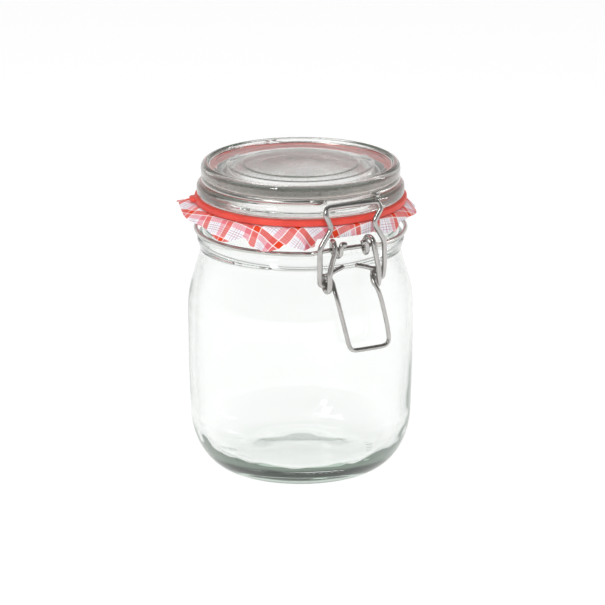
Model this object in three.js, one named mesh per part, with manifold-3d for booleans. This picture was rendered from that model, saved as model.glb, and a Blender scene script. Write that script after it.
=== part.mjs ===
// Wire-bail preserving jar: a glass jar with a glass lid, a rubber sealing ring,
// a tartan cloth ruffle and a bent-wire toggle clip.
// Millimetres, +Z up. The jar's axis is the Z axis and it stands on z = 0.
// The clip is at the front (-Y) and the lid's hinge is at the back (+Y).
import * as THREE from 'three';
import { mergeVertices } from 'three/addons/utils/BufferGeometryUtils.js';
import Module from 'manifold-3d';

const wasm = await Module();
wasm.setup();

// ---------------------------------------------------------------- dimensions
const SEGMENTS = 44;            // facets round the turned pieces

const BODY_R = 55.0;            // widest radius of the jar
const FOOT_IN = 27.5;           // flat foot ring that the jar rests on
const FOOT_OUT = 32.0;
const NECK_R = 47.2;            // neck above the bead, where the wire band sits
const NECK_BEAD_R = 50.2;
const MOUTH_R = 43.0;           // inside of the mouth
const MOUTH_Z = 133.0;          // top of the mouth rim

const LID_RIM_R = 48.4;
const LID_BEAD_R = 50.4;
const LID_SEAT_Z = 137.3;       // underside that presses on the rubber ring
const LID_TOP_Z = 153.4;
const LID_GROOVE_R = 46.0;
const LID_GROOVE_Z = 145.2;
const PLUG_R = 41.3;            // plug that centres the lid in the mouth

const RING_IN = 42.2;           // rubber ring
const RING_OUT = 51.5;
const RING_LOW = 134.1;
const RING_TOP = 137.0;

const CLOTH_IN = 45.0;          // inner edge of the ruffle, trapped under the ring
const CLOTH_OUT = 59.0;
const CLOTH_THICK = 0.5;

const NECK_WIRE_R = 1.1;        // wire radii
const LID_WIRE_R = 1.0;
const BAIL_WIRE_R = 1.3;
const ARM_WIRE_R = 1.3;
const HANDLE_WIRE_R = 1.1;

const NECK_WIRE_Z = 120.6;
const NECK_WIRE_RING_R = 50.9;  // centre-line radius of the wire band
const PIVOT_Y = -52.0;          // front bar, the pivot of the lever arms
const PIVOT_Z = 122.6;
const HINGE_Y = 57.0;           // rear bar, the hinge of the lid
const HINGE_Z = 120.6;
const TOGGLE_Y = -53.5;         // where the bail's feet turn in the arms' hooks
const TOGGLE_Z = 106.2;
const CROSSBAR_Y = -52.4;       // top bar of the bail
const CROSSBAR_Z = 143.8;

// -------------------------------------------------------------------- helpers
const v2 = (x, y) => new THREE.Vector2(x, y);
const v3 = (x, y, z) => new THREE.Vector3(x, y, z);
const deg = (a) => (a * Math.PI) / 180;

// Shares the vertices of a closed surface and drops faces of no area.
function weld(geometry) {
  geometry.deleteAttribute('normal');
  geometry.deleteAttribute('uv');
  const merged = mergeVertices(geometry, 1e-4);
  const index = merged.getIndex().array;
  const kept = [];
  for (let i = 0; i < index.length; i += 3) {
    const [a, b, c] = [index[i], index[i + 1], index[i + 2]];
    if (a !== b && b !== c && c !== a) kept.push(a, b, c);
  }
  merged.setIndex(kept);
  return merged;
}

// Volume enclosed by a closed surface: negative when its faces point in.
function signedVolume(geometry) {
  const p = geometry.getAttribute('position');
  const t = geometry.getIndex().array;
  const a = v3(), b = v3(), c = v3();
  let sum = 0;
  for (let i = 0; i < t.length; i += 3) {
    a.fromBufferAttribute(p, t[i]);
    b.fromBufferAttribute(p, t[i + 1]);
    c.fromBufferAttribute(p, t[i + 2]);
    sum += a.dot(b.cross(c)) / 6;
  }
  return sum;
}

function faceOut(geometry) {
  const g = weld(geometry);
  if (signedVolume(g) < 0) {
    const t = Array.from(g.getIndex().array);
    for (let i = 0; i < t.length; i += 3) [t[i + 1], t[i + 2]] = [t[i + 2], t[i + 1]];
    g.setIndex(t);
  }
  return g;
}

// A turned solid about the Z axis from a profile of [radius, height] pairs.
function turned(profile, segments = SEGMENTS) {
  const g = new THREE.LatheGeometry(profile.map(([r, z]) => v2(r, z)), segments);
  g.rotateX(Math.PI / 2);
  return faceOut(g);
}

// Quarter of a superellipse from (r0, z0), where it runs outwards, to (r1, z1), where it runs up.
function corner(r0, z0, r1, z1, count) {
  const points = [];
  for (let i = 1; i < count; i++) {
    const a = (Math.PI / 2) * (i / count);
    points.push([r0 + (r1 - r0) * Math.sin(a), z1 - (z1 - z0) * Math.cos(a)]);
  }
  return points;
}

// Rounds the corners of a path of [x, y, z, bend radius] points.
function bend(points) {
  const out = [];
  points.forEach((p, i) => {
    const at = v3(p[0], p[1], p[2]);
    const radius = p[3] || 0;
    if (i === 0 || i === points.length - 1 || radius === 0) { out.push(at); return; }
    const before = v3(...points[i - 1].slice(0, 3)).sub(at);
    const after = v3(...points[i + 1].slice(0, 3)).sub(at);
    const half = before.angleTo(after) / 2;
    const cut = Math.min(radius / Math.tan(half), before.length() * 0.48, after.length() * 0.48);
    const a = at.clone().addScaledVector(before.normalize(), cut);
    const b = at.clone().addScaledVector(after.normalize(), cut);
    const arc = new THREE.QuadraticBezierCurve3(a, at, b);
    out.push(...arc.getPoints(5));
  });
  return out;
}

// Round wire along a smooth line through the points.
function wire(points, radius, steps, sides = 6) {
  const curve = new THREE.CatmullRomCurve3(points, false, 'centripetal');
  curve.arcLengthDivisions = 1200;
  const section = new THREE.Shape();
  const reach = radius / Math.sqrt(Math.cos(Math.PI / sides));
  for (let i = 0; i < sides; i++) {
    const a = (2 * Math.PI * i) / sides;
    const x = reach * Math.cos(a), y = reach * Math.sin(a);
    if (i === 0) section.moveTo(x, y); else section.lineTo(x, y);
  }
  section.closePath();
  return faceOut(new THREE.ExtrudeGeometry(section, { steps, curveSegments: 1, bevelEnabled: false, extrudePath: curve }));
}

// Points on a level circle about the jar's axis; angle 0 is the front, positive towards +X.
function ringPoints(radius, z, from, to, count) {
  const points = [];
  for (let i = 0; i <= count; i++) {
    const a = deg(from + ((to - from) * i) / count);
    points.push(v3(radius * Math.sin(a), -radius * Math.cos(a), z));
  }
  return points;
}

function toManifold(geometry) {
  const g = faceOut(geometry);
  return new wasm.Manifold(new wasm.Mesh({
    numProp: 3,
    vertProperties: Float32Array.from(g.getAttribute('position').array),
    triVerts: Uint32Array.from(g.getIndex().array),
  }));
}

function fromManifold(solid) {
  const m = solid.getMesh();
  const g = new THREE.BufferGeometry();
  g.setAttribute('position', new THREE.BufferAttribute(Float32Array.from(m.vertProperties), 3));
  g.setIndex(Array.from(m.triVerts));
  return g;
}

const assembly = new THREE.Group();
function piece(name, geometry, color, roughness, metalness, extra = {}) {
  const shaded = geometry.clone();
  shaded.computeVertexNormals();
  const mesh = new THREE.Mesh(shaded, new THREE.MeshStandardMaterial({ color, roughness, metalness, ...extra }));
  mesh.name = name;
  assembly.add(mesh);
  return mesh;
}
const GLASS = { transparent: true, opacity: 0.35 };

// ------------------------------------------------------------------- jar body
// One closed profile: underside, outside wall up to the mouth rim, inside wall down to the floor.
const jarProfile = [
  [0, 3.4], [18, 2.8], [25.6, 1.3], [FOOT_IN, 0], [FOOT_OUT, 0],
  ...corner(FOOT_OUT, 0, 53.9, 30, 7),
  [53.9, 30], [54.6, 52], [BODY_R, 79], [54.6, 87], [53.3, 93.6], [51.3, 100.8], [49.5, 106.6],
  [48.8, 110.4], [49.5, 112.4], [NECK_BEAD_R, 114.6], [NECK_BEAD_R, 116.6], [49.2, 118.0], [47.6, 118.8],
  [NECK_R, 120.6], [NECK_R, 129.2], [48.4, 130.8], [48.4, 132.2], [47.6, MOUTH_Z],
  [44.0, MOUTH_Z], [MOUTH_R, 132.0], [MOUTH_R, 119.0], [44.2, 113.0], [45.0, 108.0], [47.6, 100.0],
  [50.0, 92.0], [51.4, 83.0], [51.4, 76.0], [50.9, 50.0], [50.0, 31.0],
  ...corner(33.0, 8.2, 50.0, 31.0, 6).reverse(),
  [33.0, 8.2], [18, 8.7], [0, 9.0],
];
piece('jar_body', turned(jarProfile), 0xe9efec, 0.05, 0.0, GLASS);

// ------------------------------------------------------------------------ lid
// Underside with its plug, side with the wire groove, and a top with two low round steps inside its rim.
const lidProfile = [
  [0, 145.6], [22, 145.2], [32.5, 144.0], [35.6, 141.4], [36.6, 131.2], [37.4, 130.8], [39.0, 130.8],
  [40.2, 134.0], [PLUG_R, LID_SEAT_Z], [49.5, LID_SEAT_Z], [LID_BEAD_R, 138.7], [LID_BEAD_R, 141.6],
  [49.7, 143.2], [47.4, 143.9], [LID_GROOVE_R, 144.3], [LID_GROOVE_R, 146.1], [47.4, 146.6],
  [LID_RIM_R, 148.2], [LID_RIM_R, 150.8], [47.6, 152.5], [46.2, LID_TOP_Z], [45.2, 153.3], [44.5, 152.6],
  [43.9, 151.9], [36.0, 152.0], [35.0, 152.4], [28.9, 152.4],
  [27.9, 152.8], [0, 152.8],
];
piece('lid', turned(lidProfile), 0xe6e6e6, 0.05, 0.0, GLASS);

// --------------------------------------------------------------- sealing ring
// Flat rubber washer with the small tab that is pulled to let the air in.
const washer = turned([
  [RING_IN, RING_LOW], [RING_OUT - 0.4, RING_LOW], [RING_OUT, RING_LOW + 0.5], [RING_OUT, RING_TOP - 0.5],
  [RING_OUT - 0.4, RING_TOP], [RING_IN, RING_TOP], [RING_IN, RING_LOW],
]);
const tabOutline = new THREE.Shape();
tabOutline.moveTo(-4, 0); tabOutline.lineTo(4, 0); tabOutline.lineTo(3.4, 5.2);
tabOutline.quadraticCurveTo(0, 7.2, -3.4, 5.2); tabOutline.closePath();
const tab = new THREE.ExtrudeGeometry(tabOutline, { depth: 1.6, bevelEnabled: false, curveSegments: 4 });
tab.translate(0, 49.2, RING_LOW + 0.7);
tab.rotateZ(deg(68));
piece('sealing_ring', fromManifold(toManifold(washer).add(toManifold(tab))), 0xe4513f, 0.55, 0.0);

// --------------------------------------------------------------- cloth ruffle
// Flared skirt hanging over the neck; drawn in behind the clip and at the hinge.
const flared = [[CLOTH_IN, 133.55], [50.4, 133.5], [53.0, 131.8], [55.2, 128.4], [57.4, 124.8], [CLOTH_OUT - 0.25, 121.6]];
const drawnIn = [[CLOTH_IN, 133.55], [50.3, 133.5], [51.3, 132.6], [51.7, 131.4], [51.9, 130.2], [51.95, 129.0]];
function sectionOf(line) {
  const upper = [], lower = [];
  line.forEach(([r, z], i) => {
    const a = line[Math.max(0, i - 1)], b = line[Math.min(line.length - 1, i + 1)];
    const run = Math.hypot(b[0] - a[0], b[1] - a[1]);
    const nr = -(b[1] - a[1]) / run, nz = (b[0] - a[0]) / run;
    upper.push([r + (nr * CLOTH_THICK) / 2, z + (nz * CLOTH_THICK) / 2]);
    lower.push([r - (nr * CLOTH_THICK) / 2, z - (nz * CLOTH_THICK) / 2]);
  });
  return [...upper, ...lower.reverse()];
}
const flaredSection = sectionOf(flared), drawnSection = sectionOf(drawnIn);
const smooth = (t) => { const u = Math.min(1, Math.max(0, t)); return u * u * (3 - 2 * u); };
{
  const CLOTH_SEGMENTS = 60;
  const closed = [...flaredSection, flaredSection[0]];
  const g = new THREE.LatheGeometry(closed.map(([r, z]) => v2(r, z)), CLOTH_SEGMENTS);
  g.rotateX(Math.PI / 2);
  const p = g.getAttribute('position');
  const rows = closed.length;
  for (let i = 0; i < p.count; i++) {
    const k = i % rows === rows - 1 ? 0 : i % rows;
    const [rf, zf] = flaredSection[k], [rd, zd] = drawnSection[k];
    const x = p.getX(i), y = p.getY(i);
    const angle = Math.atan2(x, -y) * (180 / Math.PI);
    const front = Math.abs(angle), rear = 180 - front;
    const free = Math.min(smooth((front - 24) / 10), smooth((rear - 20) / 10));
    const r = rd + (rf - rd) * free, z = zd + (zf - zd) * free;
    const len = Math.hypot(x, y);
    p.setXYZ(i, (x / len) * r, (y / len) * r, z);
  }
  piece('plaid_cloth', faceOut(g), 0xe9b9bd, 0.9, 0.0);
}

const STEEL = 0xb9b7b4;

// ------------------------------------------------------------------ neck wire
// Band round the neck: a straight bar across the front carries the lever arms,
// and its two ends curl into eyes round the lid wire's hinge bar at the back.
{
  const eye = (side) => {
    const points = [];
    const x = 6.6 * side;
    const reach = LID_WIRE_R + 0.4 + NECK_WIRE_R;
    for (let i = 0; i <= 8; i++) {
      const a = deg(-100 + (290 * i) / 8);
      points.push(v3(x + side * (0.9 - 0.1 * i), HINGE_Y - reach * Math.sin(a + Math.PI / 2) * -1, HINGE_Z + reach * Math.cos(a + Math.PI / 2) * -1));
    }
    return points;
  };
  const half = (side) => {
    // from the middle of the front bar to the end of the rear eye
    const points = [v3(0, PIVOT_Y, PIVOT_Z), v3(7 * side, PIVOT_Y, PIVOT_Z), v3(11.6 * side, PIVOT_Y, PIVOT_Z)];
    points.push(v3(14.6 * side, -50.6, PIVOT_Z - 0.6));
    const ring = ringPoints(NECK_WIRE_RING_R, NECK_WIRE_Z, 21 * side, 160 * side, 20);
    points.push(...ring);
    points.push(v3(12.2 * side, 51.2, NECK_WIRE_Z - 0.9));
    points.push(v3(8.6 * side, 54.2, HINGE_Z - 2.6));
    points.push(...eye(side));
    return points;
  };
  const left = half(-1).reverse();
  const right = half(1).slice(1);
  piece('neck_wire', wire([...left, ...right], NECK_WIRE_R, 120), STEEL, 0.3, 0.9);
}

// ------------------------------------------------------------------- lid wire
// Lies in the lid's groove. A loop at the back drops to the hinge bar, and the
// two ends turn outwards over the bail at the front.
{
  const R = 47.4;
  const half = (side) => [
    ...bend([[0, HINGE_Y, HINGE_Z, 0], [11.6 * side, HINGE_Y, HINGE_Z, 2.6], [11.6 * side, HINGE_Y, LID_GROOVE_Z, 3.0], [11.9 * side, 45.9, LID_GROOVE_Z, 1.5]]).slice(0, -1),
    ...ringPoints(R, LID_GROOVE_Z, 163 * side, 21 * side, 20),
    ...[v3(15.2 * side, -46.6, LID_GROOVE_Z), v3(14.5 * side, -48.6, LID_GROOVE_Z + 0.5),
      v3(14.2 * side, -51.0, LID_GROOVE_Z + 1.7), v3(14.0 * side, -54.0, LID_GROOVE_Z + 1.9)],
  ];
  const left = half(-1).reverse();
  const right = half(1).slice(1);
  piece('lid_wire', wire([...left, ...right], LID_WIRE_R, 128), STEEL, 0.3, 0.9);
}

// --------------------------------------------------------------- closing bail
// Spread at the bottom, pinched above, with a crossbar over the lid's edge.
{
  const legY = -54.3;
  const half = (side) => bend([
    [0, CROSSBAR_Y, CROSSBAR_Z, 0],
    [side < 0 ? -12.9 : 14.9, CROSSBAR_Y, CROSSBAR_Z - 0.1, 2.6],
    [side < 0 ? -13.8 : 15.8, -53.6, 140.4, 1.6],
    [side < 0 ? -11.0 : 11.5, legY, 134.2, 3.4],
    [17.3 * side, legY, 124.6, 7.0],
    [17.3 * side, legY, 113.0, 7.0],
    [16.9 * side, TOGGLE_Y, TOGGLE_Z, 2.0],
    [12.3 * side, TOGGLE_Y, TOGGLE_Z, 0],
  ]);
  const left = half(-1).reverse();
  const right = half(1).slice(1);
  piece('closing_bail', wire([...left, ...right], BAIL_WIRE_R, 84), STEEL, 0.28, 0.9);
}

// ----------------------------------------------------------------- lever arms
// Each arm is a wire that wraps the front bar once and ends below in an open hook.
function arm(side) {
  const eyeX = side < 0 ? -7.2 : 8.4;
  const hookX = side < 0 ? -13.2 : 13.1;
  const s = side;
  const y = PIVOT_Y, z = PIVOT_Z + 0.5;
  const points = [
    [eyeX - 3.8 * s, y - 2.9, z + 1.9, 0],
    [eyeX - 1.6 * s, y - 2.8, z + 2.3, 0],
    [eyeX - 0.9 * s, y - 3.0, z + 0.6, 0],
    [eyeX - 0.6 * s, y - 2.4, z - 2.6, 0],
    [eyeX - 0.1 * s, y, z - 3.9, 0],
    [eyeX + 0.5 * s, y + 2.5, z - 2.6, 0],
    [eyeX + 0.9 * s, y + 2.9, z + 0.5, 0],
    [eyeX + 1.4 * s, y + 2.1, z + 2.8, 0],
    [eyeX + 2.0 * s, y, z + 3.6, 0],
    [eyeX + 2.5 * s, y - 2.8, z + 2.3, 0],
    [eyeX + 2.9 * s, y - 3.7, z - 1.2, 0],
    [(eyeX + 2.9 * s + hookX) / 2, y - 4.0, z - 6.0, 0],
    [hookX, TOGGLE_Y - 3.1, z - 11.5, 0],
    [hookX, TOGGLE_Y - 3.1, TOGGLE_Z - 0.6, 0],
    [hookX, TOGGLE_Y - 2.3, TOGGLE_Z - 2.5, 0],
    [hookX, TOGGLE_Y, TOGGLE_Z - 3.4, 0],
    [hookX, TOGGLE_Y + 2.3, TOGGLE_Z - 2.4, 0],
    [hookX, TOGGLE_Y + 3.1, TOGGLE_Z - 0.2, 0],
    [hookX, TOGGLE_Y + 3.1, TOGGLE_Z + 2.4, 0],
    [hookX, TOGGLE_Y + 2.7, TOGGLE_Z + 4.4, 0],
  ];
  return wire(points.map((p) => v3(p[0], p[1], p[2])), ARM_WIRE_R, 46);
}
piece('lever_arm_left', arm(-1), STEEL, 0.28, 0.9);
piece('lever_arm_right', arm(1), STEEL, 0.28, 0.9);

// --------------------------------------------------------------------- handle
// Thin pull loop. Each end turns back through an arm's hook and ends in a short stub.
{
  const top = TOGGLE_Z + 5.2, low = TOGGLE_Z + 2.7, mid = (top + low) / 2;
  const handle = [
    ...[[-3.4, -51.9, 113.6], [-8.2, -52.9, 112.4], [-11.2, -53.5, top], [-13.2, -53.6, top - 0.4], [-13.8, -53.6, mid],
      [-13.2, -53.6, low + 0.3], [-11.8, -53.7, low - 0.1], [-10.6, -54.0, 107.3], [-10.2, -55.2, 104.4]].map((p) => v3(...p)),
    ...bend([[-9.7, -57.6, 99.4, 0], [-4.3, -61.1, 74.0, 4.2], [17.0, -61.1, 74.3, 4.6], [15.9, -60.3, 84.0, 9.0], [13.2, -59.7, 96.2, 0]]),
    ...[[11.5, -59.4, 101.6], [10.4, -57.8, 105.0], [10.2, -55.4, 107.6], [11.2, -53.9, low - 0.1], [12.8, -53.6, low + 0.3], [13.4, -53.6, mid],
      [12.8, -53.6, top - 0.4], [10.8, -53.5, top], [7.8, -52.9, 112.4], [3.0, -51.9, 113.6]].map((p) => v3(...p)),
  ];
  piece('handle', wire(handle, HANDLE_WIRE_R, 84), STEEL, 0.28, 0.9);
}

export default assembly;
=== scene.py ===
import math

import bmesh
import bpy
import numpy as np
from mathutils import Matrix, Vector, noise


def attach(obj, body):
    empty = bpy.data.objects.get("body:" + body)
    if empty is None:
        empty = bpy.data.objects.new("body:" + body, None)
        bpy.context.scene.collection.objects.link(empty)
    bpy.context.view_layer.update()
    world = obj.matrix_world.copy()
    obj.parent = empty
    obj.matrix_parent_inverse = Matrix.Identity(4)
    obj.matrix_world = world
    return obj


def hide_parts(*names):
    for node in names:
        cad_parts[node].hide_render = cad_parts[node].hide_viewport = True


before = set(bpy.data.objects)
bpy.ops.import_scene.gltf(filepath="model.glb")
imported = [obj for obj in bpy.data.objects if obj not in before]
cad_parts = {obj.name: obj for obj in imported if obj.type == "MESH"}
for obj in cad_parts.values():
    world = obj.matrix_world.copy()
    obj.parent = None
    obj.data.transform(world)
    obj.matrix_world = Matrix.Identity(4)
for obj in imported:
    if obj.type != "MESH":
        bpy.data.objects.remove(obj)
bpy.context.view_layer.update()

MM = 0.001

# ------------------------------------------------------------------ dimensions (mm)
LID_WIRE_R, NECK_WIRE_R, BAIL_R, ARM_R, HANDLE_R = 1.0, 1.1, 1.3, 1.3, 1.1
NECK_WIRE_Z, NECK_RING_R = 120.6, 50.9
PIVOT_Y, PIVOT_Z = -52.0, 122.6
HINGE_Y, HINGE_Z = 57.0, 120.6
TOGGLE_Y, TOGGLE_Z = -53.5, 106.2
CROSS_Y, CROSS_Z = -52.4, 143.8
GROOVE_Z = 145.2


# ------------------------------------------------------------------ small helpers
def smooth_step(t):
    t = np.clip(t, 0.0, 1.0)
    return t * t * (3 - 2 * t)


def link(obj):
    bpy.context.scene.collection.objects.link(obj)
    return obj


def mesh_object(name, verts, faces, uvs=None, smooth=True):
    """verts in mm. uvs is one (u, v) per face corner, in the faces' order."""
    me = bpy.data.meshes.new(name)
    me.from_pydata([tuple(np.asarray(v, float) * MM) for v in verts], [], faces)
    if uvs is not None:
        layer = me.uv_layers.new(name="Along")
        layer.data.foreach_set("uv", np.asarray(uvs, "f").ravel())
    me.validate()
    if smooth:
        me.polygons.foreach_set("use_smooth", [True] * len(me.polygons))
    me.update()
    return link(bpy.data.objects.new(name, me))


def catmull(points, per_mm=2.2, closed=False):
    """Centripetal Catmull-Rom line through the points, evenly resampled."""
    p = np.asarray(points, float)
    if closed:
        p = np.vstack([p[-1], p, p[0], p[1]])
    else:
        p = np.vstack([2 * p[0] - p[1], p, 2 * p[-1] - p[-2]])
    out = []
    for i in range(1, len(p) - 2):
        a, b, c, d = p[i - 1], p[i], p[i + 1], p[i + 2]
        t0 = 0.0
        t1 = t0 + max(1e-4, np.linalg.norm(b - a) ** 0.5)
        t2 = t1 + max(1e-4, np.linalg.norm(c - b) ** 0.5)
        t3 = t2 + max(1e-4, np.linalg.norm(d - c) ** 0.5)
        n = max(6, int(np.linalg.norm(c - b) * 6))
        for t in np.linspace(t1, t2, n, endpoint=False):
            a1 = (t1 - t) / (t1 - t0) * a + (t - t0) / (t1 - t0) * b
            a2 = (t2 - t) / (t2 - t1) * b + (t - t1) / (t2 - t1) * c
            a3 = (t3 - t) / (t3 - t2) * c + (t - t2) / (t3 - t2) * d
            b1 = (t2 - t) / (t2 - t0) * a1 + (t - t0) / (t2 - t0) * a2
            b2 = (t3 - t) / (t3 - t1) * a2 + (t - t1) / (t3 - t1) * a3
            out.append((t2 - t) / (t2 - t1) * b1 + (t - t1) / (t2 - t1) * b2)
    if not closed:
        out.append(p[-2])
    out = np.array(out)
    return resample(out, per_mm, closed)


def resample(line, per_mm, closed=False):
    q = np.vstack([line, line[:1]]) if closed else line
    step = np.linalg.norm(np.diff(q, axis=0), axis=1)
    s = np.concatenate([[0], np.cumsum(step)])
    n = max(8, int(s[-1] * per_mm))
    at = np.linspace(0, s[-1], n + 1)[: n if closed else None]
    return np.stack([np.interp(at, s, q[:, k]) for k in range(q.shape[1])], axis=1)


def bend(points, count=7):
    """Rounds the corners of a path of (x, y, z, bend radius) points."""
    out = []
    for i, p in enumerate(points):
        at, r = np.array(p[:3], float), p[3]
        if i in (0, len(points) - 1) or r == 0:
            out.append(at)
            continue
        b, a = np.array(points[i - 1][:3], float) - at, np.array(points[i + 1][:3], float) - at
        lb, la = np.linalg.norm(b), np.linalg.norm(a)
        half = math.acos(np.clip(b @ a / (lb * la), -1, 1)) / 2
        cut = min(r / math.tan(half), lb * 0.48, la * 0.48)
        s, e = at + b / lb * cut, at + a / la * cut
        for k in range(count):
            t = k / (count - 1)
            out.append((1 - t) ** 2 * s + 2 * t * (1 - t) * at + t * t * e)
    return out


def ring_points(radius, z, a0, a1, count):
    a = np.radians(np.linspace(a0, a1, count + 1))
    return [np.array([radius * math.sin(t), -radius * math.cos(t), z]) for t in a]


def wire(name, points, radius, sides=22, per_mm=2.2, seed=0, settle=0.0):
    """Round drawn wire along a smooth line, with cropped ends that are slightly rounded over."""
    line = catmull(points, per_mm)
    n = len(line)
    tangent = np.gradient(line, axis=0)
    tangent /= np.linalg.norm(tangent, axis=1)[:, None]
    side = np.cross(tangent[0], [0.3, 0.2, 0.93])
    side /= np.linalg.norm(side)
    sides_at = []
    for t in tangent:  # parallel transport
        side = side - t * (side @ t)
        side /= np.linalg.norm(side)
        sides_at.append(side.copy())
    sides_at = np.array(sides_at)
    up = np.cross(tangent, sides_at)
    length = np.concatenate([[0], np.cumsum(np.linalg.norm(np.diff(line, axis=0), axis=1))])
    rows, scale, along = [], [], []
    crop = min(0.45, radius * 0.4)
    for k, (d, f) in enumerate(((0.0, 1 - crop / radius), (0.3 * crop, 1 - 0.35 * crop / radius), (crop, 1.0))):
        rows.append(line[0] + tangent[0] * d), scale.append(f), along.append(d)
    inner = [i for i in range(n) if crop * 1.4 < length[i] < length[-1] - crop * 1.4]
    frames = [0, 0, 0] + inner + [n - 1] * 3
    for i in inner:
        rows.append(line[i]), scale.append(1.0), along.append(length[i])
    for d, f in ((crop, 1.0), (0.3 * crop, 1 - 0.35 * crop / radius), (0.0, 1 - crop / radius)):
        rows.append(line[-1] - tangent[-1] * d), scale.append(f), along.append(length[-1] - d)
    ang = np.linspace(0, 2 * np.pi, sides, endpoint=False)
    verts = []
    for r, (c, f, i, l) in enumerate(zip(rows, scale, frames, along)):
        for a in ang:
            wob = 1 + 0.012 * noise.noise(Vector((l * 0.25 + seed * 7.1, math.cos(a) * 0.8, math.sin(a) * 0.8)))
            verts.append(c + (sides_at[i] * math.cos(a) + up[i] * math.sin(a)) * radius * f * wob)
    faces, uvs = [], []
    for r in range(len(rows) - 1):
        for k in range(sides):
            k2 = (k + 1) % sides
            faces.append((r * sides + k, r * sides + k2, (r + 1) * sides + k2, (r + 1) * sides + k))
            u0, u1, v0, v1 = k / sides, (k + 1) / sides, along[r] / 20, along[r + 1] / 20
            uvs += [(u0, v0), (u1, v0), (u1, v1), (u0, v1)]
    a, b = len(verts), len(verts) + 1
    verts += [rows[0] - tangent[0] * 0.05, rows[-1] + tangent[-1] * 0.05]
    last = (len(rows) - 1) * sides
    for k in range(sides):
        k2 = (k + 1) % sides
        faces.append((a, k2, k))
        uvs += [(0.5, 0), (k2 / sides, 0), (k / sides, 0)]
        faces.append((b, last + k, last + k2))
        uvs += [(0.5, 0), (k / sides, 0), (k2 / sides, 0)]
    return mesh_object(name, verts, faces, uvs)


def smooth_profile(points, step=0.55):
    """A turned profile through [r, z] points. A point marked with a third value 1 stays sharp."""
    runs, run = [], []
    for p in points:
        run.append(p[:2])
        if len(p) > 2 and p[2] and len(run) > 1:
            runs.append(run)
            run = [p[:2]]
    if len(run) > 1:
        runs.append(run)
    out = []
    for r in runs:
        line = catmull([(a, b, 0) for a, b in r], 1 / step)[:, :2] if len(r) > 2 else resample(np.array(r, float), 1 / step)
        if out:
            line = line[1:]
        out += [tuple(x) for x in line]
    out = [(max(0.0, r), z) for r, z in out]
    return out


def turned(name, profile, segments, shape=None):
    """Closed turned body. The profile starts and ends on the axis, or closes on itself. shape moves a point (x, y, z, index)."""
    on_axis = profile[0][0] < 1e-6 and profile[-1][0] < 1e-6
    rows = profile[1:-1] if on_axis else profile
    verts, faces = [], []
    ang = np.linspace(0, 2 * np.pi, segments, endpoint=False)
    for i, (r, z) in enumerate(rows):
        for a in ang:
            p = (r * math.sin(a), -r * math.cos(a), z)
            verts.append(shape(p, i, r, a) if shape else p)
    m = len(rows)
    for i in range(m - 1 if on_axis else m):
        j = (i + 1) % m
        for k in range(segments):
            k2 = (k + 1) % segments
            faces.append((i * segments + k, i * segments + k2, j * segments + k2, j * segments + k))
    if on_axis:
        a, b = len(verts), len(verts) + 1
        verts += [(0, 0, profile[0][1]), (0, 0, profile[-1][1])]
        for k in range(segments):
            k2 = (k + 1) % segments
            faces.append((a, k2, k))
            faces.append((b, (m - 1) * segments + k, (m - 1) * segments + k2))
    obj = mesh_object(name, verts, faces)
    face_out(obj)
    return obj


def face_out(obj):
    bm = bmesh.new()
    bm.from_mesh(obj.data)
    bmesh.ops.recalc_face_normals(bm, faces=bm.faces)
    if bm.calc_volume(signed=True) < 0:
        bmesh.ops.reverse_faces(bm, faces=bm.faces)
    bm.to_mesh(obj.data)
    bm.free()
    obj.data.polygons.foreach_set("use_smooth", [True] * len(obj.data.polygons))
    obj.data.update()


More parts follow.
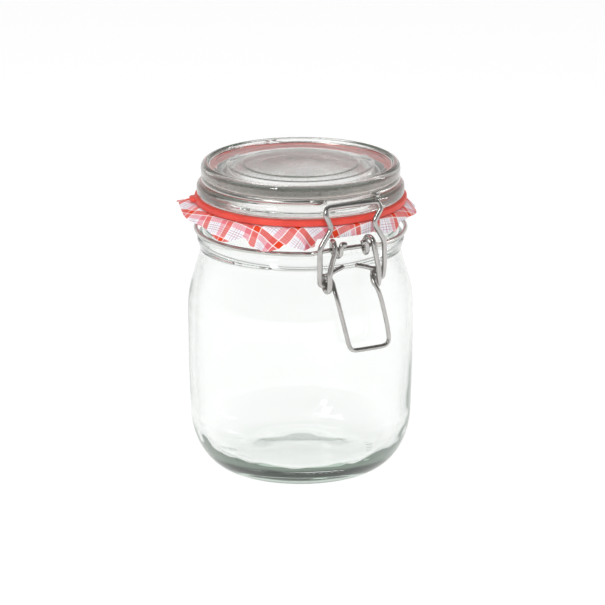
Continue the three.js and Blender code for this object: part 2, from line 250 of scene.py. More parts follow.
# ------------------------------------------------------------------ materials
class Nodes:
    def __init__(self, name):
        self.mat = bpy.data.materials.new(name)
        self.mat.use_nodes = True
        self.tree = self.mat.node_tree
        self.tree.nodes.clear()
        self.out = self.tree.nodes.new("ShaderNodeOutputMaterial")

    def new(self, kind, **values):
        n = self.tree.nodes.new(kind)
        for k, v in values.items():
            if hasattr(n, k) and k not in n.inputs:
                setattr(n, k, v)
            else:
                n.inputs[k].default_value = v
        return n

    def join(self, a, b):
        self.tree.links.new(a, b)

    def math(self, op, a, b=None, c=None, clamp=False):
        n = self.tree.nodes.new("ShaderNodeMath")
        n.operation = op
        n.use_clamp = clamp
        for i, v in enumerate((a, b, c)):
            if v is None:
                continue
            if hasattr(v, "links"):
                self.join(v, n.inputs[i])
            else:
                n.inputs[i].default_value = v
        return n.outputs[0]

    def mix(self, f, a, b, blend="MIX"):
        n = self.tree.nodes.new("ShaderNodeMix")
        n.data_type = "RGBA"
        n.blend_type = blend
        for s, v in ((n.inputs["Factor"], f), (n.inputs[6], a), (n.inputs[7], b)):
            if hasattr(v, "links"):
                self.join(v, s)
            else:
                s.default_value = v if isinstance(v, float) else (*v, 1.0)[:4]
        return n.outputs[2]

    def ramp(self, f, stops):
        n = self.tree.nodes.new("ShaderNodeValToRGB")
        el = n.color_ramp.elements
        el[0].position, el[0].color = stops[0][0], (*stops[0][1], 1)
        el[1].position, el[1].color = stops[-1][0], (*stops[-1][1], 1)
        for pos, col in stops[1:-1]:
            e = el.new(pos)
            e.color = (*col, 1)
        self.join(f, n.inputs[0])
        return n.outputs[0]

    def noise(self, vec, scale, detail=4.0, rough=0.5):
        n = self.tree.nodes.new("ShaderNodeTexNoise")
        n.inputs["Scale"].default_value = scale
        n.inputs["Detail"].default_value = detail
        n.inputs["Roughness"].default_value = rough
        if vec is not None:
            self.join(vec, n.inputs["Vector"])
        return n.outputs["Fac"]

    def coords(self, scale=(1, 1, 1), kind="Object", uv=None):
        if uv:
            t = self.tree.nodes.new("ShaderNodeUVMap")
            t.uv_map = uv
            src = t.outputs[0]
        else:
            src = self.tree.nodes.new("ShaderNodeTexCoord").outputs[kind]
        m = self.tree.nodes.new("ShaderNodeMapping")
        m.inputs["Scale"].default_value = scale
        self.join(src, m.inputs[0])
        return m.outputs[0]

    def bump(self, height, strength, distance):
        n = self.tree.nodes.new("ShaderNodeBump")
        n.inputs["Strength"].default_value = strength
        n.inputs["Distance"].default_value = distance
        self.join(height, n.inputs["Height"])
        return n.outputs[0]


def steel(name, base=(0.60, 0.585, 0.57), dark=(0.30, 0.29, 0.28), rough=(0.16, 0.34)):
    m = Nodes(name)
    p = m.new("ShaderNodeBsdfPrincipled", Metallic=1.0)
    p.inputs["Anisotropic"].default_value = 0.0
    drawn = m.noise(m.coords((22, 1.6, 1), uv="Along"), 3.0, 5.0, 0.6)  # lines left by the drawing die
    broad = m.noise(m.coords((1, 1, 1)), 120.0, 3.0)
    fine = m.noise(m.coords((1, 1, 1)), 1500.0, 2.0)
    t = m.math("ADD", m.math("MULTIPLY", drawn, 0.65), m.math("MULTIPLY", broad, 0.35))
    m.join(m.ramp(t, [(0.33, dark), (0.5, tuple((a + 3 * b) / 4 for a, b in zip(dark, base))), (0.68, base)]), p.inputs["Base Color"])
    m.join(m.math("MULTIPLY_ADD", t, rough[1] - rough[0], rough[0]), p.inputs["Roughness"])
    h = m.math("ADD", drawn, m.math("MULTIPLY", fine, 0.4))
    m.join(m.bump(h, 0.25, 0.00006), p.inputs["Normal"])
    m.join(p.outputs[0], m.out.inputs["Surface"])
    return m.mat


def glass(name, absorb=(0.68, 0.86, 0.74), density=9.0, wave=0.5, pressed=0.0, rings=0.0):
    """Clear soda glass. pressed is the roughness of the lid's underside, which came off a cast-iron mould."""
    m = Nodes(name)
    p = m.new("ShaderNodeBsdfPrincipled")
    p.inputs["Base Color"].default_value = (0.995, 0.997, 0.995, 1)
    p.inputs["IOR"].default_value = 1.51
    p.inputs["Transmission Weight"].default_value = 1.0
    broad = m.noise(m.coords((1, 1, 0.55)), 38.0, 2.0, 0.4)  # slow ripple that pressed glass keeps
    mid = m.noise(m.coords((1, 1, 0.3)), 130.0, 2.0, 0.5)
    h = m.math("ADD", broad, m.math("MULTIPLY", mid, 0.12))
    if rings:  # level streaks on the lid's side, left where the hot glass chilled on the mould
        streak = m.noise(m.coords((1, 1, 7)), 55.0, 3.0, 0.6)
        h = m.math("ADD", h, m.math("MULTIPLY", streak, rings))
    m.join(m.bump(h, 1.0, 0.00022 * wave), p.inputs["Normal"])
    handled = m.noise(m.coords((1, 1, 1)), 60.0, 5.0, 0.65)
    rough = m.math("MULTIPLY", m.math("SUBTRACT", handled, 0.52, clamp=True), 0.08)
    if pressed:
        xyz = m.tree.nodes.new("ShaderNodeSeparateXYZ")
        m.join(m.coords(), xyz.inputs[0])
        rr = m.math("SQRT", m.math("ADD", m.math("POWER", xyz.outputs[0], 2.0), m.math("POWER", xyz.outputs[1], 2.0)))
        under = m.math("MULTIPLY", m.math("LESS_THAN", rr, 0.0357), m.math("LESS_THAN", xyz.outputs[2], 0.149))
        seat = m.math("MULTIPLY", m.math("GREATER_THAN", rr, 0.0357), m.math("LESS_THAN", xyz.outputs[2], 0.13745))
        under = m.math("ADD", under, m.math("MULTIPLY", seat, 0.9))
        rough = m.math("ADD", rough, m.math("MULTIPLY", under, m.math("MULTIPLY_ADD", handled, 0.10, pressed)))
    m.join(rough, p.inputs["Roughness"])
    clear = m.new("ShaderNodeBsdfTransparent")
    clear.inputs["Color"].default_value = (0.95, 0.965, 0.955, 1)
    lp = m.new("ShaderNodeLightPath")
    mix = m.new("ShaderNodeMixShader")
    m.join(m.math("MAXIMUM", lp.outputs["Is Shadow Ray"], lp.outputs["Is Diffuse Ray"]), mix.inputs[0])
    m.join(p.outputs[0], mix.inputs[1])
    m.join(clear.outputs[0], mix.inputs[2])
    # light that has run round inside the thick heel several times is let out; the grey tint on it is painted shade that
    # keeps the heel's crescents dark, beside the glass's own absorption
    leak_painted_shade = m.new("ShaderNodeBsdfTransparent")
    leak_painted_shade.inputs["Color"].default_value = (0.62, 0.65, 0.625, 1)
    trapped = m.math("MAXIMUM", m.math("GREATER_THAN", lp.outputs["Glossy Depth"], 1.5), m.math("GREATER_THAN", lp.outputs["Ray Depth"], 6.5))
    mix2 = m.new("ShaderNodeMixShader")
    m.join(trapped, mix2.inputs[0])
    m.join(mix.outputs[0], mix2.inputs[1])
    m.join(leak_painted_shade.outputs[0], mix2.inputs[2])
    m.join(mix2.outputs[0], m.out.inputs["Surface"])
    v = m.new("ShaderNodeVolumeAbsorption")
    v.inputs["Color"].default_value = (*absorb, 1)
    v.inputs["Density"].default_value = density
    m.join(v.outputs[0], m.out.inputs["Volume"])
    return m.mat


def rubber(name):
    m = Nodes(name)
    p = m.new("ShaderNodeBsdfPrincipled")
    c = m.coords((1, 1, 1))
    a = m.noise(c, 45.0, 4.0)
    b = m.noise(c, 900.0, 3.0, 0.7)
    m.join(m.ramp(a, [(0.3, (0.60, 0.042, 0.028)), (0.5, (0.70, 0.058, 0.038)), (0.72, (0.78, 0.080, 0.054))]), p.inputs["Base Color"])
    m.join(m.math("MULTIPLY_ADD", b, 0.25, 0.34), p.inputs["Roughness"])
    m.join(m.bump(m.math("ADD", b, m.math("MULTIPLY", a, 0.5)), 0.35, 0.00008), p.inputs["Normal"])
    p.inputs["Subsurface Weight"].default_value = 0.15
    p.inputs["Subsurface Radius"].default_value = (0.0030, 0.0006, 0.0004)
    p.inputs["Subsurface Scale"].default_value = 1.0
    m.join(p.outputs[0], m.out.inputs["Surface"])
    return m.mat


def tartan(name):
    """Woven check. The UV map "Cloth" holds the flat cut's own coordinates in mm, over 100."""
    m = Nodes(name)
    uv = m.tree.nodes.new("ShaderNodeUVMap")
    uv.uv_map = "Cloth"
    s = m.tree.nodes.new("ShaderNodeSeparateXYZ")
    m.join(uv.outputs[0], s.inputs[0])
    wob = m.math("MULTIPLY", m.math("SUBTRACT", m.noise(m.coords((1, 1, 1), uv="Cloth"), 9.0, 2.0), 0.5), 0.5)

    def band(x, lo, hi, edge=0.10):
        """1 between lo and hi (mm), with soft edges."""
        a = m.math("DIVIDE", m.math("SUBTRACT", x, lo - edge / 2), edge, clamp=True)
        b = m.math("DIVIDE", m.math("SUBTRACT", hi + edge / 2, x), edge, clamp=True)
        return m.math("MULTIPLY", a, b)

    def total(values):
        t = values[0]
        for v in values[1:]:
            t = m.math("MAXIMUM", t, v)
        return t

    def stripes(coord, period, offset):
        x = m.math("MULTIPLY", coord, 100.0)
        x = m.math("ADD", m.math("ADD", x, wob), offset)
        x = m.math("FLOORED_MODULO", x, period)
        k = period / 12.5
        red = band(x, 0.0, 2.9 * k)
        white = total([band(x, 2.9 * k, 3.3 * k, 0.06), band(x, period - 0.42, period - 0.02, 0.06)])
        pink = band(x, period - 3.0 * k, period - 0.45, 0.14)
        lines = total([band(x, q * k, q * k + 0.26, 0.08) for q in (5.5, 6.6, 7.7)])
        hair = total([band(x, q * k, q * k + 0.20, 0.08) for q in (4.4, 8.8)])
        return red, white, pink, lines, hair

    ru, wu, pu, lu, hu = stripes(s.outputs[0], 12.5, 61.4 - 11.0)
    rv, wv, pv, lv, hv = stripes(s.outputs[1], 15.0, 12.4 + 15.0)
    base = m.mix(m.noise(m.coords((1, 1, 1), uv="Cloth"), 14.0, 2.0), (0.95, 0.935, 0.96), (0.86, 0.86, 0.95))
    base = m.mix(m.math("MULTIPLY", total([hu, hv]), 0.45), base, (0.42, 0.30, 0.42))
    base = m.mix(m.math("MULTIPLY", total([lu, lv]), 0.70), base, (0.36, 0.10, 0.15))
    base = m.mix(m.math("MULTIPLY", total([pu, pv]), 0.62), base, (0.80, 0.17, 0.22))
    base = m.mix(m.math("MULTIPLY", m.math("MULTIPLY", pu, pv), 0.7), base, (0.74, 0.10, 0.14))
    base = m.mix(m.math("MULTIPLY", rv, 0.80), base, (0.76, 0.085, 0.060))
    base = m.mix(m.math("MULTIPLY", ru, 0.86), base, (0.74, 0.065, 0.040))
    base = m.mix(m.math("MULTIPLY", m.math("MULTIPLY", ru, rv), 0.9), base, (0.80, 0.060, 0.018))
    base = m.mix(m.math("MULTIPLY", total([wu, wv]), 0.78), base, (0.93, 0.87, 0.86))
    # plain weave: threads over and under each other, 0.36 mm apart
    tu = m.math("SINE", m.math("MULTIPLY", s.outputs[0], 100 * 2 * math.pi / 0.36))
    tv = m.math("SINE", m.math("MULTIPLY", s.outputs[1], 100 * 2 * math.pi / 0.36))
    weave = m.math("MULTIPLY", tu, tv)
    slub = m.noise(m.coords((1, 1, 1), uv="Cloth"), 160.0, 4.0, 0.6)
    # the weave term lightens and darkens the colour as painted shade of the threads' relief; the slub term is the
    # yarn's own uneven tone
    weave_shade_and_slub = m.math("ADD", m.math("MULTIPLY", weave, 0.05), m.math("MULTIPLY_ADD", slub, 0.16, 0.92))
    mult = m.tree.nodes.new("ShaderNodeVectorMath")
    mult.operation = "SCALE"
    m.join(base, mult.inputs[0])
    m.join(weave_shade_and_slub, mult.inputs["Scale"])
    p = m.new("ShaderNodeBsdfPrincipled")
    p.inputs["Roughness"].default_value = 0.86
    p.inputs["Sheen Weight"].default_value = 0.15
    p.inputs["Sheen Roughness"].default_value = 0.4
    p.inputs["Specular IOR Level"].default_value = 0.2
    m.join(mult.outputs[0], p.inputs["Base Color"])
    nrm = m.bump(m.math("ADD", m.math("MULTIPLY", weave, 0.5), m.math("MULTIPLY", slub, 1.5)), 0.6, 0.00009)
    m.join(nrm, p.inputs["Normal"])
    tr = m.new("ShaderNodeBsdfTranslucent")
    m.join(mult.outputs[0], tr.inputs["Color"])
    mix = m.new("ShaderNodeMixShader")
    mix.inputs[0].default_value = 0.22
    m.join(p.outputs[0], mix.inputs[1])
    m.join(tr.outputs[0], mix.inputs[2])
    m.join(mix.outputs[0], m.out.inputs["Surface"])
    return m.mat


CLIP = steel("clip_wire")
BAND = steel("band_wire", base=(0.66, 0.645, 0.62), dark=(0.42, 0.40, 0.385), rough=(0.14, 0.30))
JAR_GLASS = glass("jar_glass", wave=0.45)
LID_GLASS = glass("lid_glass", absorb=(0.80, 0.765, 0.735), density=18.0, wave=0.3, pressed=0.22, rings=0.35)
RUBBER = rubber("red_rubber")
TARTAN = tartan("tartan_cotton")


def finish_piece(obj, mat, body, slot, *nodes):
    obj.data.materials.clear()
    obj.data.materials.append(mat)
    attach(obj, body)
    if nodes:
        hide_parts(*nodes)
    return obj


# ------------------------------------------------------------------ jar
SEG = 224
outer_corner = [(32.0 + 21.9 * math.sin(a), 30.0 - 30.0 * math.cos(a)) for a in np.linspace(0, math.pi / 2, 14)[1:-1]]
inner_corner = [(33.0 + 17.0 * math.sin(a) ** 0.88, 31.0 - 22.8 * math.cos(a) ** 0.88) for a in np.linspace(0, math.pi / 2, 12)[1:-1]][::-1]
jar_profile = smooth_profile(
    [(0, 1.5), (8, 1.4), (16, 1.05), (23, 0.5), (27.5, 0.12), (30, 0.02), (31.9, 0.0, 1)]
    + [(r, z) for r, z in outer_corner]
    + [(53.9, 30), (54.25, 39), (54.6, 52), (54.85, 66), (55.0, 77), (54.95, 82), (54.55, 87.5), (53.2, 94), (51.3, 100.8), (49.7, 106.2),
       (49.0, 109.6), (49.1, 111.4), (49.8, 113.0), (50.2, 114.8), (50.2, 116.4), (49.5, 117.8), (48.2, 118.5), (47.4, 119.2),
       (47.2, 121), (47.2, 128.6), (47.6, 129.8), (48.4, 130.7), (48.55, 131.6), (48.2, 132.5), (47.4, 132.95), (46.5, 133.0, 1),
       (44.4, 133.0, 1), (43.5, 132.8), (43.05, 132.0), (43.0, 130.5), (43.0, 119.0), (43.5, 115.5), (44.4, 112.0), (45.2, 107.5),
       (47.4, 100.5), (49.6, 93.4), (51.0, 86.5), (51.4, 80.0), (51.4, 72.0), (51.15, 56.0), (50.7, 43.0), (50.0, 31.0)]
    + [(r, z) for r, z in inner_corner]
    + [(33.0, 8.2), (28, 8.4), (18, 8.7), (8, 8.9), (0, 9.0)],
    0.6,
)


def jar_shape(p, i, r, a):
    x, y, z = p
    if r < 1e-6:
        return p
    # bearing surface: fine radial ribs pressed into the heel, just outside the foot
    if z < 2.6 and 32.6 < r < 38.5 and i < len(jar_profile) / 2:
        f = smooth_step((r - 32.6) / 0.8) * smooth_step((38.5 - r) / 1.2)
        z += 0.34 * f * (0.5 + 0.5 * math.cos(a * 74)) * (0.7 + 0.3 * math.cos(a * 5 + 0.6))
    # the wall is never quite even in pressed glass
    if i > len(jar_profile) / 2 and z < 112:
        n = noise.noise(Vector((math.sin(a) * 1.3, math.cos(a) * 1.3, z * 0.022)))
        m = noise.noise(Vector((math.sin(a) * 5.0 + 9.0, math.cos(a) * 5.0, z * 0.13)))
        low = smooth_step((26 - z) / 12) * smooth_step((r - 30) / 8)
        s = 1 + (0.0085 * n + 0.012 * m * low) * smooth_step((112 - z) / 15) * smooth_step((r - 20) / 14)
        x, y, z = x * s, y * s, z + 0.6 * m * low
    return (x, y, z)


jar = turned("glass_jar", jar_profile, SEG, jar_shape)
finish_piece(jar, JAR_GLASS, "jar", "jar_glass", "jar_body")

# ------------------------------------------------------------------ lid
lid_profile = smooth_profile(
    [(0, 145.6), (12, 145.5), (24, 145.1), (31.5, 144.2), (34.4, 142.6), (35.6, 140.2), (36.1, 136), (36.5, 132.2), (36.9, 131.1), (37.6, 130.8),
     (38.8, 130.8), (39.6, 131.4), (40.2, 133.6), (40.8, 136.2), (41.3, 137.3, 1), (49.0, 137.3, 1), (49.9, 137.6), (50.35, 138.5), (50.4, 140.0),
     (50.4, 141.4), (50.1, 142.4), (49.4, 143.2), (48.2, 143.7), (46.9, 144.0), (46.2, 144.5), (46.0, 145.2), (46.1, 146.0), (46.8, 146.45),
     (47.8, 147.0), (48.3, 147.9), (48.4, 149.3), (48.35, 150.8), (47.95, 152.0), (47.2, 152.85), (46.2, 153.35), (45.4, 153.4), (44.9, 153.15),
     (44.5, 152.6), (44.15, 152.15), (43.6, 151.95), (42, 151.95), (38.6, 151.98), (36.4, 152.0), (35.55, 152.06), (35.15, 152.3), (34.6, 152.38),
     (31.5, 152.38), (29.4, 152.4), (28.55, 152.46), (28.15, 152.68), (27.6, 152.76), (25, 152.78), (14, 152.8), (0, 152.8)],
    0.34,
)


def lid_shape(p, i, r, a):
    x, y, z = p
    # fine ribs pressed round the plug's bottom edge
    if z < 131.6 and 36.6 < r < 40.2:
        z += 0.30 * smooth_step((r - 36.6) / 0.5) * smooth_step((40.2 - r) / 0.5) * (0.5 + 0.5 * math.cos(a * 168))
    # and just inside the rim of the top
    if z > 151.5 and 41.0 < r < 43.9:
        z += 0.16 * smooth_step((r - 41.0) / 0.8) * smooth_step((43.9 - r) / 0.6) * (0.5 + 0.5 * math.cos(a * 168))
    # the underside of pressed glass is left slightly wavy
    if i < 60 and z > 141 and r < 35:
        z += 0.32 * noise.noise(Vector((x * 0.055, y * 0.055, 3.1))) * smooth_step((35 - r) / 8)
    return (x, y, z)


lid = turned("glass_lid", lid_profile, 336, lid_shape)
finish_piece(lid, LID_GLASS, "lid", "lid_glass", "lid")

# ------------------------------------------------------------------ sealing ring
ring_profile = []
for cx, cz, a0 in ((51.5 - 0.7, 134.1 + 0.7, -90), (51.5 - 0.7, 137.0 - 0.7, 0), (42.2 + 0.5, 137.0 - 0.5, 90), (42.2 + 0.5, 134.1 + 0.5, 180)):
    rr = 0.7 if cx > 46 else 0.5
    for t in np.linspace(0, 90, 7):
        ring_profile.append((cx + rr * math.cos(math.radians(a0 + t)), cz + rr * math.sin(math.radians(a0 + t))))


def ring_shape(p, i, r, a):
    x, y, z = p
    off = math.degrees((a - math.radians(158.0 - 270.0 + 360.0) + math.pi) % (2 * math.pi) - math.pi)
    if r > 46:
        # edge of a die-cut washer: not quite even
        s = 1 + 0.0016 * noise.noise(Vector((math.sin(a) * 4, math.cos(a) * 4, z * 0.3)))
        x, y = x * s, y * s
    return (x, y, z)


ring = turned("rubber_ring", ring_profile, 256, ring_shape)


def tab_piece():
    """The pull tab, flat and round-ended, growing out of the ring's edge."""
    a0 = math.radians(68.0)
    outline = []
    for t in np.linspace(-1, 1, 19):
        outline.append((t * 4.2, 0.0))
    pts = [(-4.4, 50.6), (-4.0, 51.7), (-3.7, 52.6), (-3.1, 53.4), (-1.9, 53.9), (0, 54.1), (1.9, 53.9), (3.1, 53.4), (3.7, 52.6), (4.0, 51.7), (4.4, 50.6)]
    line = catmull([(x, y, 0) for x, y in pts], 3.0)[:, :2]
    zs = [(134.8, 0.82), (134.95, 0.96), (135.3, 1.0), (135.9, 1.0), (136.25, 0.96), (136.4, 0.82)]
    verts, faces = [], []
    c = np.array([0, 50.6])
    n = len(line)
    for z, s in zs:
        for q in line:
            w = c + (q - c) * (1 - (1 - s) * 0.12)
            verts.append((w[0] * math.cos(a0) - w[1] * math.sin(a0), w[0] * math.sin(a0) + w[1] * math.cos(a0), z))
    for i in range(len(zs) - 1):
        for k in range(n):
            k2 = (k + 1) % n
            faces.append((i * n + k, i * n + k2, (i + 1) * n + k2, (i + 1) * n + k))
    faces.append(tuple(range(n)))
    faces.append(tuple((len(zs) - 1) * n + k for k in range(n)))
    obj = mesh_object("ring_tab", verts, faces)
    face_out(obj)
    return obj


tab = tab_piece()
finish_piece(ring, RUBBER, "lid", "red_rubber", "sealing_ring")
finish_piece(tab, RUBBER, "lid", "red_rubber")

# ------------------------------------------------------------------ wires


def both(half):
    """A whole path from its right-hand half, which starts at the middle."""
    return list(reversed(half(-1))) + half(1)[1:]


def neck_half(s):
    pts = [(0, PIVOT_Y, PIVOT_Z), (7 * s, PIVOT_Y, PIVOT_Z), (11.6 * s, PIVOT_Y, PIVOT_Z), (14.6 * s, -50.6, PIVOT_Z - 0.6)]
    pts += ring_points(NECK_RING_R, NECK_WIRE_Z, 21 * s, 160 * s, 30)
    pts += [(12.2 * s, 51.2, NECK_WIRE_Z - 0.9), (8.6 * s, 54.2, HINGE_Z - 2.6)]
    reach = LID_WIRE_R + 0.4 + NECK_WIRE_R
    for i in range(9):
        a = math.radians(-100 + 290 * i / 8)
        pts.append((6.6 * s + s * (0.9 - 0.1 * i), HINGE_Y + reach * math.cos(a), HINGE_Z + reach * math.sin(a)))
    return [np.array(p, float) for p in pts]


neck = wire("neck_band_wire", both(neck_half), NECK_WIRE_R, seed=1)
finish_piece(neck, BAND, "jar", "steel_wire", "neck_wire")


def lid_half(s):
    pts = bend([(0, HINGE_Y, HINGE_Z, 0), (11.6 * s, HINGE_Y, HINGE_Z, 2.6), (11.6 * s, HINGE_Y, GROOVE_Z, 3.0), (11.9 * s, 45.9, GROOVE_Z, 1.5)])[:-1]
    pts += ring_points(47.4, GROOVE_Z, 163 * s, 21 * s, 30)
    pts += [(15.2 * s, -46.6, GROOVE_Z), (14.5 * s, -48.6, GROOVE_Z + 0.5), (14.2 * s, -51.0, GROOVE_Z + 1.7), (14.0 * s, -54.0, GROOVE_Z + 1.9)]
    return [np.array(p, float) for p in pts]


lidwire = wire("lid_groove_wire", both(lid_half), LID_WIRE_R, seed=2)
finish_piece(lidwire, BAND, "lid", "steel_wire", "lid_wire")


def bail_half(s):
    return bend([
        (0, CROSS_Y, CROSS_Z, 0), (-12.9 if s < 0 else 14.9, CROSS_Y, CROSS_Z - 0.1, 2.6), (-13.8 if s < 0 else 15.8, -53.6, 140.4, 1.6),
        (-11.0 if s < 0 else 11.5, -54.3, 134.2, 3.4),
        (17.3 * s, -54.3, 124.6, 7.0), (17.3 * s, -54.3, 113.0, 7.0), (16.9 * s, TOGGLE_Y, TOGGLE_Z, 2.0), (12.3 * s, TOGGLE_Y, TOGGLE_Z, 0)])


bail = wire("bail_loop", both(bail_half), BAIL_R, seed=3)
finish_piece(bail, CLIP, "bail", "clip_wire", "closing_bail")


def arm(name, s):
    ex = -7.2 if s < 0 else 8.4
    hx = -13.2 if s < 0 else 13.1
    y, z = PIVOT_Y, PIVOT_Z + 0.5
    pts = [
        (ex - 3.8 * s, y - 2.9, z + 1.9), (ex - 1.6 * s, y - 2.8, z + 2.3), (ex - 0.9 * s, y - 3.0, z + 0.6), (ex - 0.6 * s, y - 2.4, z - 2.6),
        (ex - 0.1 * s, y, z - 3.9), (ex + 0.5 * s, y + 2.5, z - 2.6), (ex + 0.9 * s, y + 2.9, z + 0.5), (ex + 1.4 * s, y + 2.1, z + 2.8),
        (ex + 2.0 * s, y, z + 3.6), (ex + 2.5 * s, y - 2.8, z + 2.3), (ex + 2.9 * s, y - 3.7, z - 1.2), ((ex + 2.9 * s + hx) / 2, y - 4.0, z - 6.0),
        (hx, TOGGLE_Y - 3.1, z - 11.5), (hx, TOGGLE_Y - 3.1, TOGGLE_Z - 0.6), (hx, TOGGLE_Y - 2.3, TOGGLE_Z - 2.5), (hx, TOGGLE_Y, TOGGLE_Z - 3.4),
        (hx, TOGGLE_Y + 2.3, TOGGLE_Z - 2.4), (hx, TOGGLE_Y + 3.1, TOGGLE_Z - 0.2), (hx, TOGGLE_Y + 3.1, TOGGLE_Z + 2.4), (hx, TOGGLE_Y + 2.7, TOGGLE_Z + 4.4)]
    return wire(name, [np.array(p, float) for p in pts], ARM_R, seed=5 + s)


finish_piece(arm("arm_left", -1), CLIP, "lever", "clip_wire", "lever_arm_left")
finish_piece(arm("arm_right", 1), CLIP, "lever", "clip_wire", "lever_arm_right")

top, low = TOGGLE_Z + 5.2, TOGGLE_Z + 2.7
mid = (top + low) / 2
handle_path = [np.array(p, float) for p in (
    (-3.4, -51.9, 113.6), (-8.2, -52.9, 112.4), (-11.2, -53.5, top), (-13.2, -53.6, top - 0.4), (-13.8, -53.6, mid),
    (-13.2, -53.6, low + 0.3), (-11.8, -53.7, low - 0.1), (-10.6, -54.0, 107.3), (-10.2, -55.2, 104.4))]
handle_path += bend([(-9.7, -57.6, 99.4, 0), (-4.3, -61.1, 74.0, 4.2), (17.0, -61.1, 74.3, 4.6), (15.9, -60.3, 84.0, 9.0), (13.2, -59.7, 96.2, 0)])
handle_path += [np.array(p, float) for p in (
    (11.5, -59.4, 101.6), (10.4, -57.8, 105.0), (10.2, -55.4, 107.6), (11.2, -53.9, low - 0.1), (12.8, -53.6, low + 0.3), (13.4, -53.6, mid),
    (12.8, -53.6, top - 0.4), (10.8, -53.5, top), (7.8, -52.9, 112.4), (3.0, -51.9, 113.6))]
handle = wire("pull_handle", handle_path, HANDLE_R, seed=9)
finish_piece(handle, CLIP, "lever", "clip_wire", "handle")

# ------------------------------------------------------------------ cloth ruffle
CAM_AZ = math.radians(-27.0)
R_IN = 43.8


# Angles in the next three tables are in degrees, measured from the direction CAM_AZ.
# How steeply the cloth hangs outside the rim:
HANG = [(-180, 52), (-150, 40), (-128, 55), (-108, 36), (-95, 12), (-78, 14), (-66, 38), (-50, 50), (-36, 62), (-20, 66), (-5, 70), (6, 78),
        (14, 84), (40, 84), (48, 72), (60, 55), (75, 46), (90, 40), (104, 58), (120, 62), (134, 74), (172, 74), (180, 52)]
# Length of cloth outside the rubber ring, up to its cut edge (mm):
LENGTH = [(-180, 11.5), (-168, 12.6), (-158, 11), (-150, 8.6), (-147, 11.4), (-138, 12.4), (-128, 9.4), (-122, 11.8), (-113, 12.2), (-104, 8.8),
          (-99, 10.6), (-92, 9.0), (-83, 8.5), (-73.5, 9.2), (-68.5, 9.0), (-64.5, 8.5), (-60, 8.0), (-57, 7.7), (-53, 8.7), (-47.5, 10.5),
          (-42.5, 11.6), (-38.5, 11.6), (-36, 10.8), (-33, 9.0), (-30.5, 7.2), (-28.8, 8.0), (-27, 11.0), (-23.5, 11.8), (-20, 12.5), (-16.5, 13.0),
          (-13, 12.5), (-10, 11.0), (-9, 9.5), (-8.3, 8.8), (-7, 10.0), (-3.5, 10.6), (-0.5, 11.3), (2.5, 11.5), (5.5, 11.0), (8, 10.2),
          (10.5, 9.0), (13.5, 8.2), (16, 7.5), (19, 7.7), (22.5, 8.2), (26.5, 9.0), (30, 9.0), (34, 8.2), (38, 7.7), (41, 7.4), (44, 6.8),
          (47.5, 8.0), (49.5, 8.5), (52.5, 7.7), (55.5, 9.3), (59, 7.5), (62.5, 5.8), (66, 5.9), (71, 6.1), (76, 6.9), (84, 7.6), (92, 6.6),
          (97, 8.4), (106, 10.0), (114, 9.4), (120, 8.2), (133, 7.0), (150, 6.6), (168, 7.2), (180, 11.5)]
# Creases, where the gathered cloth is drawn in against the glass:
CREASE = [-176, -150, -128, -104, -83, -57, -30.5, -8.5, 13, 44, 62, 90, 118, 150, 184]
KEEP_IN = 51.0  # outer radius of cloth between the clip's legs


def fold(phi):
    """0 in a crease, 1 on the crown between two creases."""
    for a, b in zip(CREASE[:-1], CREASE[1:]):
        if a <= phi < b:
            t = (phi - a) / (b - a)
            return math.sin(math.pi * t) ** 0.62, t
    return 0.0, 0.0


def cloth_line(a, over_at):
    """A line of the cloth from the rubber ring outwards. a is the world angle from the front, over_at the lengths along it (mm)."""
    phi = (math.degrees(a) + 27.0 + 184.0) % 360.0 - 184.0
    phi = phi if phi >= -176.0 else phi + 360.0
    deg = (phi + 180.0) % 360.0 - 180.0
    fall = math.radians(float(np.interp(deg, [q[0] for q in HANG], [q[1] for q in HANG])))
    crown, t = fold(phi if phi < 184 else phi - 360)
    front = abs(math.degrees((a + math.pi) % (2 * math.pi) - math.pi))
    rear = 180.0 - front
    near_clip = float(smooth_step((25.0 - front) / 7.0))
    near_hinge = float(smooth_step((24.0 - rear) / 8.0))
    tight = max(near_clip, near_hinge)
    amp = (1.0 - 0.9 * tight) * (2.3 if abs(deg) < 60 else 3.0)
    fall += (math.radians(90.0) - fall) * tight
    lean = amp * 0.9 * math.sin(2 * math.pi * t)  # the crown leans over one of its creases
    out = []
    bl = 2.2
    for over in over_at:
        o = max(0.0, over)
        if o < bl:
            g = fall * o / bl
            r = 50.4 + bl / fall * math.sin(g)
            z = 133.58 - bl / fall * (1 - math.cos(g))
        else:
            r = 50.4 + bl / fall * math.sin(fall) + (o - bl) * math.cos(fall)
            z = 133.58 - bl / fall * (1 - math.cos(fall)) - (o - bl) * math.sin(fall)
        w = min(1.0, max(0.0, (o - 0.8) / 11.0)) ** 1.15
        push = amp * (crown - 0.62) * w
        push += 0.50 * w * noise.noise(Vector((math.sin(a) * 9.0, math.cos(a) * 9.0, o * 0.16))) * (1 - 0.7 * tight)
        r += push * math.sin(fall)
        z += push * math.cos(fall) * 0.8
        if tight > 0:
            r -= tight * 1.9 * w ** 0.6
            r = r * (1 - tight) + min(r, KEEP_IN) * tight
        r = max(r, 49.25 + 0.6 * (z > 128.5))
        out.append((r, z, a + lean * w / 57.0))
    return out


def cut_length(a):
    deg = (math.degrees(a) + 27.0 + 180.0) % 360.0 - 180.0
    rear = 180.0 - abs(math.degrees((a + math.pi) % (2 * math.pi) - math.pi))
    front = 180.0 - rear
    reach = float(np.interp(deg, [q[0] for q in LENGTH], [q[1] for q in LENGTH]))
    reach = min(reach, 6.6 + 20 * float(smooth_step((front - 17.5) / 6.0))) if front < 30 else reach
    return min(reach, 5.4 + 20 * float(smooth_step((rear - 17.0) / 8.0)))


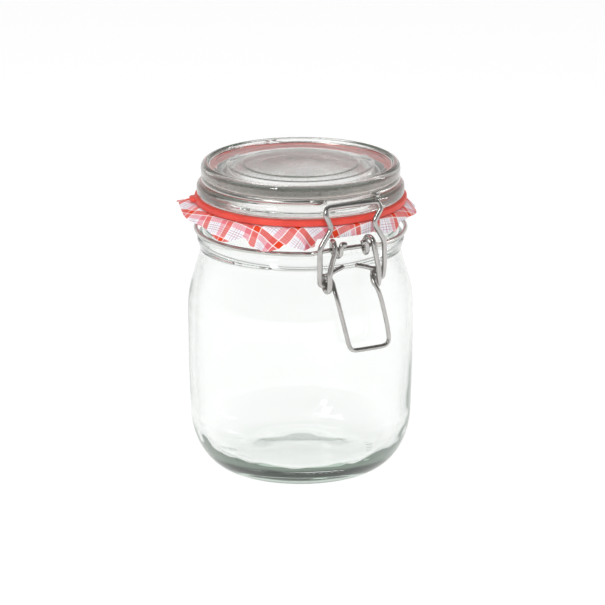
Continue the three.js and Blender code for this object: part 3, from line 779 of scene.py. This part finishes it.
def cloth_piece():
    na, ns = ((1260, 34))
    flat_in = R_IN
    verts, flat = [], []
    angles = np.linspace(0, 2 * math.pi, na, endpoint=False)
    for a in angles:
        reach = cut_length(a)
        total = (50.4 - flat_in) + reach
        at = [total * k / ns for k in range(ns + 1)]
        line = cloth_line(a, [q - (50.4 - flat_in) for q in at])
        for q, (r, z, b) in zip(at, line):
            s = flat_in + q
            if s <= 50.4:
                r, z, b = s, 133.58, a
            verts.append((r * math.sin(b), -r * math.cos(b), z))
            flat.append((s * math.sin(a), -s * math.cos(a)))
    turn = math.radians(-117.0)
    flat = np.array(flat)
    toward = flat[:, 0] * math.cos(turn) + flat[:, 1] * math.sin(turn)
    across = -flat[:, 0] * math.sin(turn) + flat[:, 1] * math.cos(turn)
    u, v = (across - toward) / math.sqrt(2), (across + toward) / math.sqrt(2)
    faces, uvs = [], []
    for i in range(na):
        j = (i + 1) % na
        for k in range(ns):
            f = (i * (ns + 1) + k, j * (ns + 1) + k, j * (ns + 1) + k + 1, i * (ns + 1) + k + 1)
            faces.append(f)
            uvs += [(u[q] / 100, v[q] / 100) for q in f]
    me = bpy.data.meshes.new("cloth_ruffle")
    me.from_pydata([tuple(np.array(p) * MM) for p in verts], [], faces)
    layer = me.uv_layers.new(name="Cloth")
    layer.data.foreach_set("uv", np.asarray(uvs, "f").ravel())
    me.polygons.foreach_set("use_smooth", [True] * len(me.polygons))
    me.update()
    return link(bpy.data.objects.new("cloth_ruffle", me))


cloth = cloth_piece()
finish_piece(cloth, TARTAN, "jar", "tartan_cotton", "plaid_cloth")

# ------------------------------------------------------------------ stage, lights, camera
bpy.ops.mesh.primitive_plane_add(size=12.0, location=(0, 0, -0.0002))
floor = bpy.context.object
floor.name = "studio_floor"
fm = Nodes("studio_floor")  # white opal acrylic, lit from below and from above
fp = fm.new("ShaderNodeBsdfPrincipled")
fp.inputs["Base Color"].default_value = (0.30, 0.30, 0.30, 1)
fp.inputs["Roughness"].default_value = 0.7
fp.inputs["Specular IOR Level"].default_value = 0.05
fp.inputs["Emission Color"].default_value = (1.0, 1.0, 1.0, 1)
fp.inputs["Emission Strength"].default_value = 0.84
fp.inputs["Emission Strength"].default_value = 0.78
fm.join(fp.outputs[0], fm.out.inputs["Surface"])
floor.data.materials.append(fm.mat)

world = bpy.data.worlds.new("studio")
bpy.context.scene.world = world
world.use_nodes = True
wt = world.node_tree
wt.nodes.clear()
wo = wt.nodes.new("ShaderNodeOutputWorld")
bg = wt.nodes.new("ShaderNodeBackground")
tc = wt.nodes.new("ShaderNodeTexCoord")
sep = wt.nodes.new("ShaderNodeSeparateXYZ")
rp = wt.nodes.new("ShaderNodeValToRGB")
wt.links.new(tc.outputs["Generated"], sep.inputs[0])
wt.links.new(sep.outputs[2], rp.inputs[0])
el = rp.color_ramp.elements
el[0].position, el[0].color = 0.0, (1.0, 1.0, 1.0, 1)
el[1].position, el[1].color = 1.0, (0.22, 0.22, 0.22, 1)
for pos, g in ((0.17, 1.0), (0.31, 0.52), (0.50, 0.22)):
    e = el.new(pos)
    e.color = (g, g, g, 1)
# the studio is darker on the side the camera stands on
away = wt.nodes.new("ShaderNodeVectorMath")
away.operation = "DOT_PRODUCT"
wt.links.new(tc.outputs["Generated"], away.inputs[0])
away.inputs[1].default_value = (0.454, 0.891, 0.0)
side = wt.nodes.new("ShaderNodeMapRange")
side.inputs["From Min"].default_value = -0.55
side.inputs["From Max"].default_value = 0.35
side.inputs["To Min"].default_value = 0.42
side.inputs["To Max"].default_value = 1.0
wt.links.new(away.outputs["Value"], side.inputs["Value"])
dim = wt.nodes.new("ShaderNodeVectorMath")
dim.operation = "SCALE"
wt.links.new(rp.outputs[0], dim.inputs[0])
wt.links.new(side.outputs[0], dim.inputs["Scale"])
wt.links.new(dim.outputs[0], bg.inputs["Color"])
bg.inputs["Strength"].default_value = 1.0
wt.links.new(bg.outputs[0], wo.inputs["Surface"])


def softbox(name, where, at, size, power, color=(1, 1, 1)):
    d = bpy.data.lights.new(name, "AREA")
    d.shape = "RECTANGLE"
    d.size, d.size_y = size
    d.energy = power
    d.color = color
    o = link(bpy.data.objects.new(name, d))
    o.location = where
    o.rotation_euler = (Vector(at) - Vector(where)).to_track_quat("-Z", "Y").to_euler()
    return o


softbox("top_box", (-0.5, 0.5, 2.2), (0, 0, 0.08), (0.9, 0.9), 14.0)
softbox("left_box", (-1.35, -0.75, 1.1), (0, 0, 0.09), (0.30, 0.55), 9.0)
softbox("right_box", (1.35, -0.15, 0.7), (0, 0, 0.09), (0.12, 0.7), 2.2)
front = softbox("front_box", (-0.9, -2.2, 1.9), (0, 0, 0.12), (1.6, 1.0), 46.0)
front.visible_glossy = front.visible_transmission = False  # a wide soft fill, kept out of the glass's reflections

EL = math.radians(16.2)
DIST, F_PX = 2.6, 2.05 * 2600.0
direction = Vector((math.sin(CAM_AZ) * math.cos(EL), -math.cos(CAM_AZ) * math.cos(EL), math.sin(EL)))
right = Vector((math.cos(CAM_AZ), math.sin(CAM_AZ), 0))
target = Vector((0, 0, 0.075 + 0.00686)) + right * 0.00093
cam_data = bpy.data.cameras.new("camera")
cam_data.sensor_width = 36.0
cam_data.sensor_fit = "HORIZONTAL"
cam_data.lens = F_PX / 605.0 * 36.0
cam_data.clip_start, cam_data.clip_end = 0.05, 30.0
cam = link(bpy.data.objects.new("camera", cam_data))
cam.location = target + direction * DIST
cam.rotation_euler = (-direction).to_track_quat("-Z", "Y").to_euler()
bpy.context.scene.camera = cam
bpy.context.scene.view_settings.view_transform = "Standard"
bpy.context.scene.view_settings.look = "None"
